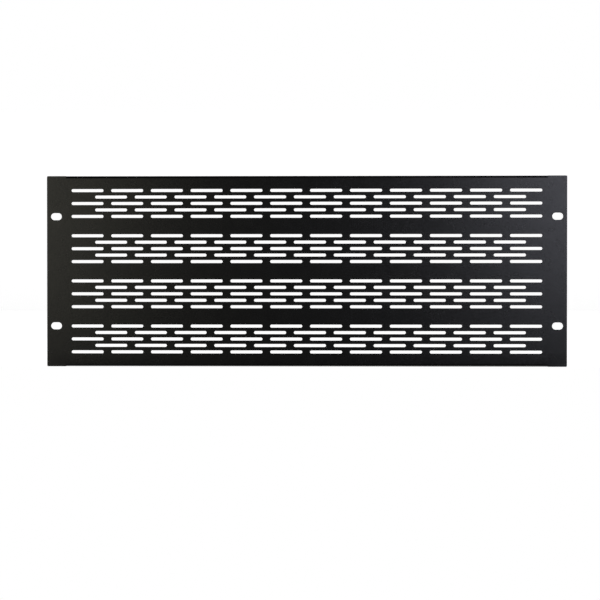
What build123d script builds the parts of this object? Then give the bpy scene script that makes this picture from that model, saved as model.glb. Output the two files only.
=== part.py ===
from build123d import *
from build123d.topology import SkipClean
from math import cos, pi, sin
import os

# A vented blanking panel for a 19-inch equipment rack, four rack units high.
# It is folded from one steel sheet: a flat web with rows of vent slots, a flat mounting ear at
# each end, and a flange folded back along the top and the bottom edge between the ears.
#
# X runs along the panel, Y from its front to its back, and Z up. The origin is at the centre of
# the four mounting slots, on the rear face, which seats on the rack's rails. Sizes are in mm.

# Sheet
sheet_thickness = 1.2
bend_inner_radius = 1.2
corner_radius = 1.0  # outer corners of the ears and free corners of the flanges

# Outline, after the 19-inch rack standard
panel_width = 482.6
rack_units = 4
unit_height = 44.45
panel_gap = 0.8  # left free between this panel and the next one in the rack
panel_height = rack_units * unit_height - panel_gap

# Flanges, folded back between the ears
rail_opening = 450.0  # free width between the rack's rails
flange_end_gap = 1.5  # from each end of a flange to the rail beside it
flange_depth = 12.0  # from the panel's front face to the flange's free edge
flange_length = rail_opening - 2 * flange_end_gap

# Mounting slots, one near each corner
mount_spacing_x = 465.1
rail_hole_gap = 12.7  # from the last hole of one rack unit to the first hole of the next
mount_spacing_z = (rack_units - 2) * unit_height + rail_hole_gap
mount_slot_length = 10.3
mount_slot_height = 6.8

# Vent slots. Full rows take turns with short rows, which have one slot less and stand to one
# side of the full ones.
vent_length = 30.0
vent_height = 3.0
vent_pitch = 37.0
vent_stagger = 22.0
vent_end_flats = 4  # flats that draw each round end of a slot
vent_row_pitch = 6.0
vent_rows_in_group = 5
vent_group_pitch = 42.0
vent_side_margin = 4.0  # least bare sheet between a full row and the ends of the flanges
vent_edge_margin = 8.0  # least bare sheet above the highest row and below the lowest one
vent_row_space = flange_length - 2 * vent_side_margin
vents_in_full_row = int((vent_row_space - vent_length) / vent_pitch) + 1
vent_group_height = (vent_rows_in_group - 1) * vent_row_pitch + vent_height
vent_group_space = panel_height - 2 * vent_edge_margin
vent_groups = int((vent_group_space - vent_group_height) / vent_group_pitch) + 1


def fold_profile():
    """Section of the panel between its ears: web, two bends and two flanges, seen along X."""
    front = -sheet_thickness
    free_edge = front + flange_depth
    half_outside = panel_height / 2
    half_inside = half_outside - sheet_thickness
    outside = FilletPolyline(
        (free_edge, -half_outside),
        (front, -half_outside),
        (front, half_outside),
        (free_edge, half_outside),
        radius=bend_inner_radius + sheet_thickness,
    )
    inside = FilletPolyline(
        (free_edge, -half_inside),
        (0, -half_inside),
        (0, half_inside),
        (free_edge, half_inside),
        radius=bend_inner_radius,
    )
    free_edges = [Line(outside @ 0, inside @ 0), Line(outside @ 1, inside @ 1)]
    return make_face([outside, inside, *free_edges])


def folded_middle():
    """The web and its two flanges, with the free corners of the flanges rounded."""
    middle = extrude(Plane.YZ * fold_profile(), flange_length / 2, both=True)
    corners = middle.edges().filter_by(Axis.Z).group_by(Axis.Y)[-1]
    return fillet(corners, corner_radius)


def flat_sheet():
    """The panel's face with its ears, cut back between them to where the bends begin."""
    outline = RectangleRounded(panel_width, panel_height, corner_radius)
    bend_height = bend_inner_radius + sheet_thickness
    bend_places = GridLocations(0, panel_height - bend_height, 1, 2)
    bends = Sketch() + bend_places * Rectangle(flange_length, bend_height)
    return extrude(Plane.XZ * (outline - bends), sheet_thickness)


def vent_slot():
    """Outline of one vent slot, whose round ends are drawn by flats."""
    end_radius = vent_height / 2
    end_centre = vent_length / 2 - end_radius
    corners = []
    for end in (1, -1):
        for step in range(vent_end_flats + 1):
            angle = pi * (step / vent_end_flats - 0.5)
            x = end_centre + end_radius * cos(angle)
            corners.append((end * x, end * end_radius * sin(angle)))
    return make_face(Polyline(*corners, close=True))


def vent_slots():
    """Outline of every vent slot, row by row."""
    slot = vent_slot()
    full_row = GridLocations(vent_pitch, 0, vents_in_full_row, 1)
    short_row = GridLocations(vent_pitch, 0, vents_in_full_row - 1, 1)
    short_row_shift = Pos(vent_stagger - vent_pitch / 2, 0)
    outlines = []
    for group in GridLocations(0, vent_group_pitch, 1, vent_groups):
        rows = GridLocations(0, vent_row_pitch, 1, vent_rows_in_group)
        for number, row in enumerate(rows):
            if number % 2 == 0:
                outlines += [group * row * place * slot for place in full_row]
            else:
                outlines += [group * row * short_row_shift * place * slot for place in short_row]
    return outlines


def mounting_slots():
    """Outlines of the four mounting slots."""
    slot = SlotOverall(mount_slot_length, mount_slot_height)
    return [place * slot for place in GridLocations(mount_spacing_x, mount_spacing_z, 2, 2)]


def vented_panel():
    """The whole panel: flat sheet and folds in one, with every slot cut through it."""
    sheet = flat_sheet() + folded_middle()
    openings = Sketch() + [*vent_slots(), *mounting_slots()]
    punches = extrude(Plane.XZ * openings, sheet_thickness)
    # The slots leave no faces that could be joined, and looking for them takes half a minute
    with SkipClean():
        return sheet - punches


os.makedirs("parts", exist_ok=True)
export_step(vented_panel(), "parts/vented_panel.step")
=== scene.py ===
from math import cos, pi, radians

import bmesh
import bpy
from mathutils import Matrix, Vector


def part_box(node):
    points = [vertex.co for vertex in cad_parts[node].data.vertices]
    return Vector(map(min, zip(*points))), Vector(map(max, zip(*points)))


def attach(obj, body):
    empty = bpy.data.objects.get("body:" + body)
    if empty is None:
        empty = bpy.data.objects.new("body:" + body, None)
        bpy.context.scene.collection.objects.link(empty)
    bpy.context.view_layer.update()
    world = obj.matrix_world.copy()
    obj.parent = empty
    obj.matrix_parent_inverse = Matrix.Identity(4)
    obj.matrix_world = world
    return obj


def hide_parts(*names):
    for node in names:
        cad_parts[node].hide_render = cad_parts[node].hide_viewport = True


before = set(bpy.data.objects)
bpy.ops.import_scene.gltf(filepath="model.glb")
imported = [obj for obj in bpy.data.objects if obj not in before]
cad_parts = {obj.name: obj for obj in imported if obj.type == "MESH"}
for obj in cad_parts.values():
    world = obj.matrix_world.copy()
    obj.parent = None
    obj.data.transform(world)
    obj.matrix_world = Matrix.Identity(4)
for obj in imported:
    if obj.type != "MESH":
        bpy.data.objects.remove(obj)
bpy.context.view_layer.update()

# A vented blanking panel for a 19-inch equipment rack, folded from one steel sheet and powder
# coated black. The panel is modelled in millimetres and turned into metres at the end.
MM = 0.001
lowest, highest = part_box("vented_panel")

# Sheet and folds
sheet_thickness = 1.2
coating = 0.12  # by which the coating narrows a slot at each side
bend_inner_radius = 1.2
bend_outer_radius = bend_inner_radius + sheet_thickness
bend_steps = 9
corner_radius = 1.0
corner_steps = 5
rim_width = 0.08  # the coating rounds every cut rim a little
sharp_angle = radians(40)  # edges sharper than this are rims, the rest are shaded smooth
flange_half_length = 223.5
panel_half_width = highest.x / MM
panel_half_height = highest.z / MM
front = lowest.y / MM
rear = front + sheet_thickness
flange_end = highest.y / MM
bend_start = panel_half_height - bend_outer_radius  # height at which the flat web ends

# Vent slots
vent_length = 30.0
vent_height = 3.0
vent_pitch = 37.0
vent_row_pitch = 6.0
vent_group_pitch = 42.0
vent_groups = 4
lowest_row = -75.0
full_row = {"count": 12, "first_x": -203.5, "rows": 3, "lowest_z": lowest_row}
short_row = {"count": 11, "first_x": -181.5, "rows": 2, "lowest_z": lowest_row + vent_row_pitch}
vent_corners = 20  # corners of the two round ends together

# Mounting slots
mount_spacing_x = 465.1
mount_spacing_z = 101.6
mount_slot_length = 10.3
mount_slot_height = 6.8
mount_corners = 32

near = 0.01  # how close a vertex, edge or face has to be to count as in a place
weld = 0.001  # vertices nearer than this are one


# Selecting and joining

def deselect_objects():
    bpy.ops.object.select_all(action="DESELECT")


def pick(obj):
    """Select one object and make it the active one."""
    deselect_objects()
    obj.select_set(True)
    bpy.context.view_layer.objects.active = obj


def pick_parts(kind, wanted):
    """In edit mode, select only the vertices, edges or faces whose middle is wanted."""
    modes = {"verts": "VERT", "edges": "EDGE", "faces": "FACE"}
    bpy.ops.mesh.select_mode(type=modes[kind])
    bpy.ops.mesh.select_all(action="DESELECT")
    mesh = bpy.context.edit_object.data
    shape = bmesh.from_edit_mesh(mesh)
    for part in getattr(shape, kind):
        corners = [part] if kind == "verts" else part.verts
        middle = sum((corner.co for corner in corners), Vector()) / len(corners)
        part.select_set(wanted(middle))
    bmesh.update_edit_mesh(mesh)


def block(name, low, high):
    """A block between two corners, with its place in its mesh."""
    low, high = Vector(low), Vector(high)
    deselect_objects()
    bpy.ops.mesh.primitive_cube_add(size=1, location=(low + high) / 2, scale=high - low)
    bpy.ops.object.transform_apply(location=True, rotation=True, scale=True)
    made = bpy.context.active_object
    made.name = name
    return made


def apply_modifier(obj, kind, **settings):
    """Add one modifier to the object and apply it."""
    pick(obj)
    modifier = obj.modifiers.new(kind.lower(), kind)
    for name, value in settings.items():
        setattr(modifier, name, value)
    bpy.ops.object.modifier_apply(modifier=modifier.name)


def combine(obj, other, operation):
    """Join the other solid to the object, or cut it out of it."""
    apply_modifier(obj, "BOOLEAN", object=other, operation=operation, solver="EXACT")
    bpy.data.objects.remove(other)


def repeat(obj, count, step):
    """Repeat the object's shape in its own mesh, each copy one step after the last."""
    apply_modifier(
        obj, "ARRAY", count=count, use_relative_offset=False, use_constant_offset=True,
        constant_offset_displace=step,
    )


# The panel

def folded_web():
    """The web between the ears, its top and bottom edges spun round the bends and drawn back."""
    web = block(
        "folded_panel",
        (-flange_half_length, front, -bend_start),
        (flange_half_length, rear, bend_start),
    )
    bpy.ops.object.mode_set(mode="EDIT")
    for side in (1, -1):
        pick_parts("faces", lambda middle: middle.z * side > bend_start - near)
        bend_centre = (0, rear + bend_inner_radius, side * bend_start)
        bpy.ops.mesh.spin(
            steps=bend_steps, angle=side * pi / 2, center=bend_centre, axis=(1, 0, 0)
        )
        flange_start = rear + bend_inner_radius
        pick_parts(
            "faces",
            lambda middle: middle.z * side > bend_start + near
            and middle.y > flange_start - weld,
        )
        flange_run = (0, flange_end - flange_start, 0)
        bpy.ops.mesh.extrude_region_move(TRANSFORM_OT_translate={"value": flange_run})
    pick_parts(
        "edges",
        lambda middle: middle.y > flange_end - near
        and abs(middle.x) > flange_half_length - near,
    )
    bpy.ops.mesh.bevel(offset=corner_radius, segments=corner_steps)
    bpy.ops.object.mode_set(mode="OBJECT")
    return web


def ear(side):
    """One flat mounting ear, with its two outer corners rounded."""
    inner, outer = side * flange_half_length, side * panel_half_width
    made = block(
        "ear",
        (min(inner, outer), front, -panel_half_height),
        (max(inner, outer), rear, panel_half_height),
    )
    bpy.ops.object.mode_set(mode="EDIT")
    pick_parts(
        "edges",
        lambda middle: abs(middle.x) > panel_half_width - near
        and abs(middle.z) > panel_half_height - near,
    )
    bpy.ops.mesh.bevel(offset=corner_radius, segments=corner_steps)
    bpy.ops.object.mode_set(mode="OBJECT")
    return made


def slot_punch(length, height, x, z, corners):
    """A punch for one slot: a round bar across the sheet, with its two halves drawn apart."""
    length, height = length - 2 * coating, height - 2 * coating
    deselect_objects()
    bpy.ops.mesh.primitive_cylinder_add(
        vertices=corners,
        radius=height / 2 / cos(pi / corners),
        depth=4 * sheet_thickness,
        location=(x, (front + rear) / 2, z),
        rotation=(pi / 2, pi / corners, 0),
    )
    bpy.ops.object.transform_apply(location=True, rotation=True, scale=True)
    bpy.ops.object.mode_set(mode="EDIT")
    for side in (1, -1):
        pick_parts("verts", lambda middle: (middle.x - x) * side > near)
        bpy.ops.transform.translate(value=(side * (length - height) / 2, 0, 0))
    bpy.ops.object.mode_set(mode="OBJECT")
    return bpy.context.active_object


def vent_punch(row):
    """The punches for all full rows, or for all short rows."""
    punch = slot_punch(vent_length, vent_height, row["first_x"], row["lowest_z"], vent_corners)
    repeat(punch, row["count"], (vent_pitch, 0, 0))
    repeat(punch, row["rows"], (0, 0, 2 * vent_row_pitch))
    repeat(punch, vent_groups, (0, 0, vent_group_pitch))
    return punch


def mounting_punch():
    """The punches for the four mounting slots."""
    punch = slot_punch(
        mount_slot_length, mount_slot_height,
        -mount_spacing_x / 2, -mount_spacing_z / 2, mount_corners,
    )
    repeat(punch, 2, (mount_spacing_x, 0, 0))
    repeat(punch, 2, (0, 0, mount_spacing_z))
    return punch


def divide_along_rows(panel):
    """A cut line along the middle of each row of slots, so that no face has a hole in it."""
    pick(panel)
    bpy.ops.object.mode_set(mode="EDIT")
    for group in range(vent_groups):
        for row in range(full_row["rows"] + short_row["rows"]):
            z = lowest_row + group * vent_group_pitch + row * vent_row_pitch
            bpy.ops.mesh.select_all(action="SELECT")
            bpy.ops.mesh.bisect(plane_co=(0, 0, z), plane_no=(0, 0, 1))
    bpy.ops.object.mode_set(mode="OBJECT")


def round_rims(panel):
    """Round the cut rims, but not the short steps in which a bend leaves the ear beside it."""
    pick(panel)
    bpy.ops.object.mode_set(mode="EDIT")
    bpy.ops.mesh.select_mode(type="EDGE")
    bpy.ops.mesh.select_all(action="DESELECT")
    bpy.ops.mesh.edges_select_sharp(sharpness=sharp_angle)
    shape = bmesh.from_edit_mesh(panel.data)
    for edge in shape.edges:
        ends = [corner.co for corner in edge.verts]
        beside_ear = all(abs(abs(end.x) - flange_half_length) < near for end in ends)
        on_bend = all(abs(end.z) > bend_start - near for end in ends)
        before_flange = all(end.y < rear + bend_inner_radius + near for end in ends)
        if beside_ear and on_bend and before_flange:
            edge.select_set(False)
    bmesh.update_edit_mesh(panel.data)
    bpy.ops.mesh.bevel(
        offset=rim_width, segments=1, clamp_overlap=False, harden_normals=True
    )
    bpy.ops.object.mode_set(mode="OBJECT")


def folded_panel():
    """The whole panel: web and ears joined, slots punched, rims rounded, turned into metres."""
    panel = folded_web()
    combine(panel, ear(1), "UNION")
    combine(panel, ear(-1), "UNION")
    divide_along_rows(panel)
    for punch in (vent_punch(full_row), vent_punch(short_row), mounting_punch()):
        combine(panel, punch, "DIFFERENCE")
    pick(panel)
    bpy.ops.object.mode_set(mode="EDIT")
    bpy.ops.mesh.select_all(action="SELECT")
    bpy.ops.mesh.remove_doubles(threshold=weld)
    bpy.ops.mesh.normals_make_consistent(inside=False)
    bpy.ops.object.mode_set(mode="OBJECT")
    bpy.ops.object.shade_smooth_by_angle(angle=sharp_angle)
    round_rims(panel)
    pick(panel)
    panel.scale = (MM, MM, MM)
    bpy.ops.object.transform_apply(location=True, rotation=True, scale=True)
    return panel


# Finishes

def linear(hex_colour):
    """An sRGB hex colour as the linear colour that Blender's sockets hold."""
    levels = [int(hex_colour[i:i + 2], 16) / 255 for i in (1, 3, 5)]
    curve = [v / 12.92 if v <= 0.04045 else ((v + 0.055) / 1.055) ** 2.4 for v in levels]
    return (*curve, 1)


def add_node(tree, kind, inputs, **settings):
    """One node with its settings, and its inputs set to a value or linked to a socket."""
    made = tree.nodes.new(kind)
    for name, value in settings.items():
        setattr(made, name, value)
    for name, value in inputs.items():
        if isinstance(value, bpy.types.NodeSocket):
            tree.links.new(value, made.inputs[name])
        else:
            made.inputs[name].default_value = value
    return made


def black_powder_coat():
    """Black polyester powder coat, sprayed as dry powder and baked on the steel.

    The grains melt into a thin even skin with a fine texture, so the flat sheet is near black
    with a wide satin sheen, and the sheen is slightly speckled.
    """
    material = bpy.data.materials.new("black_powder_coat")
    material.use_nodes = True
    tree = material.node_tree
    tree.nodes.clear()
    place = add_node(tree, "ShaderNodeTexCoord", {}).outputs["Object"]
    # The real texture has grains of about 0.2 mm. They would not show from where the camera
    # stands, so they are drawn coarser.
    grain_width = 0.9 * MM
    grain_height = 0.034 * MM
    grain = add_node(
        tree, "ShaderNodeTexNoise",
        {"Vector": place, "Scale": 1 / grain_width, "Detail": 2.0, "Roughness": 0.6},
    )
    # The skin is a little thicker and smoother in patches
    patch_width = 12 * MM
    flow = add_node(
        tree, "ShaderNodeTexNoise",
        {"Vector": place, "Scale": 1 / patch_width, "Detail": 2.0, "Roughness": 0.5},
    )
    relief = add_node(
        tree, "ShaderNodeBump",
        {"Strength": 1.0, "Distance": grain_height, "Height": grain.outputs["Fac"]},
    )
    sheen = add_node(
        tree, "ShaderNodeMapRange",
        {
            "Value": flow.outputs["Fac"], "From Min": 0.3, "From Max": 0.7,
            "To Min": 0.25, "To Max": 0.28,
        },
    )
    shader = add_node(
        tree, "ShaderNodeBsdfPrincipled",
        {
            "Roughness": sheen.outputs["Result"], "Normal": relief.outputs["Normal"],
            "Base Color": linear("#0a0a0a"), "IOR": 1.5,
        },
    )
    add_node(tree, "ShaderNodeOutputMaterial", {"Surface": shader.outputs["BSDF"]})
    return material


# Stage

def aim(place, target):
    """The rotation of a camera or lamp at one place that looks at another."""
    return (Vector(target) - Vector(place)).to_track_quat("-Z", "Y").to_euler()


def softbox(name, place, width, height, watts, colour="#ffffff"):
    """One flat lamp that is aimed at the panel."""
    bpy.ops.object.light_add(type="AREA", location=place, rotation=aim(place, (0, 0, 0)))
    lamp = bpy.context.active_object
    lamp.name = name
    lamp.data.shape = "RECTANGLE"
    lamp.data.size = width
    lamp.data.size_y = height
    lamp.data.energy = watts
    lamp.data.color = linear(colour)[:3]


def seen_white(tree, kinds):
    """1 for the kinds of ray that see the background white, 0 for the rest."""
    path = add_node(tree, "ShaderNodeLightPath", {})
    total = path.outputs[kinds[0]]
    for kind in kinds[1:]:
        total = add_node(
            tree, "ShaderNodeMath", {0: total, 1: path.outputs[kind]},
            operation="ADD", use_clamp=True,
        ).outputs[0]
    return total


def white_paper():
    """Matt background paper, seen as white, which keeps a faint shadow of the panel."""
    seen_level = 0.955
    material = bpy.data.materials.new("white_background_paper")
    material.use_nodes = True
    tree = material.node_tree
    tree.nodes.clear()
    paper = add_node(tree, "ShaderNodeBsdfDiffuse", {"Color": linear("#cccccc")})
    seen = seen_white(tree, ["Is Camera Ray", "Is Glossy Ray", "Is Transmission Ray"])
    level = add_node(
        tree, "ShaderNodeMath", {0: seen, 1: seen_level}, operation="MULTIPLY"
    ).outputs[0]
    glow = add_node(tree, "ShaderNodeEmission", {"Color": (1, 1, 1, 1), "Strength": level})
    both = add_node(tree, "ShaderNodeAddShader", {0: paper.outputs[0], 1: glow.outputs[0]})
    add_node(tree, "ShaderNodeOutputMaterial", {"Surface": both.outputs[0]})
    return material


def paper_sweep():
    """A sheet of background paper that runs under the panel and rises in a curve behind it.

    Its front edge is flush with the panel's face, so that the face mirrors no pale floor.
    """
    paper_front, half_width = lowest.y, 2.2
    curve_start, curve_radius, curve_steps, rise = 3.0, 0.5, 16, 2.2
    floor_level = lowest.z - 0.05 * MM
    deselect_objects()
    bpy.ops.mesh.primitive_plane_add(
        size=1, location=(0, (paper_front + curve_start) / 2, floor_level)
    )
    paper = bpy.context.active_object
    paper.name = "background_paper"
    paper.scale = (2 * half_width, curve_start - paper_front, 1)
    bpy.ops.object.transform_apply(location=True, rotation=True, scale=True)
    bpy.ops.object.mode_set(mode="EDIT")
    pick_parts("edges", lambda middle: middle.y > curve_start - MM)
    bpy.ops.mesh.spin(
        steps=curve_steps, angle=pi / 2,
        center=(0, curve_start, floor_level + curve_radius), axis=(1, 0, 0),
    )
    pick_parts("edges", lambda middle: middle.y > curve_start + curve_radius - MM)
    bpy.ops.mesh.extrude_region_move(TRANSFORM_OT_translate={"value": (0, 0, rise)})
    bpy.ops.object.mode_set(mode="OBJECT")
    bpy.ops.object.shade_smooth()
    paper.data.materials.append(white_paper())


def dim_world():
    """Even dim light from the room, which the camera sees as the same white as the paper."""
    world = bpy.data.worlds.new("room")
    bpy.context.scene.world = world
    world.use_nodes = True
    tree = world.node_tree
    tree.nodes.clear()
    room = add_node(tree, "ShaderNodeBackground", {"Color": (1, 1, 1, 1), "Strength": 0.01})
    white = add_node(tree, "ShaderNodeBackground", {"Color": (1, 1, 1, 1), "Strength": 1.0})
    seen = seen_white(tree, ["Is Camera Ray"])
    mixed = add_node(
        tree, "ShaderNodeMixShader", {0: seen, 1: room.outputs[0], 2: white.outputs[0]}
    )
    add_node(tree, "ShaderNodeOutputWorld", {"Surface": mixed.outputs[0]})


def camera():
    """A long lens nearly straight before the panel, a little to its right.

    It is aimed below the panel's middle, so the panel stands high in the picture.
    """
    place = (0.0292, -1.5000, -0.0100)
    target = (-0.0057, -0.0012, -0.02672)
    bpy.ops.object.camera_add(location=place, rotation=aim(place, target))
    made = bpy.context.active_object
    made.data.sensor_width = 36.0
    made.data.lens = 96.93
    bpy.context.scene.camera = made


camera()
dim_world()
# Two small lamps beside the camera, one cool and one warm, give the sheen at the panel's ends
softbox("right_softbox", (0.624, -1.66, 0.327), 0.5, 0.7, 3.5, "#edefff")
softbox("left_softbox", (-0.73, -1.80, 0.215), 0.5, 0.7, 1.5, "#fefae5")
# A wide dim one behind the camera lifts the middle a little
softbox("front_softbox", (0, -2.60, 0), 1.8, 0.7, 0.22)
# The lamps at the sides light the paper and the flanges, and the low ones the face when it is
# seen from the side
for side, name in ((-1, "left"), (1, "right")):
    softbox(name + "_side_softbox", (side * 1.18, -0.55, 0.30), 1.0, 1.2, 7.0)
    softbox(name + "_low_softbox", (side * 1.18, -0.95, -0.55), 1.3, 1.3, 2.4)
paper_sweep()

panel = folded_panel()
panel.data.materials.clear()
panel.data.materials.append(black_powder_coat())
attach(panel, "root")
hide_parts("vented_panel")

bpy.context.scene.view_settings.view_transform = "Standard"
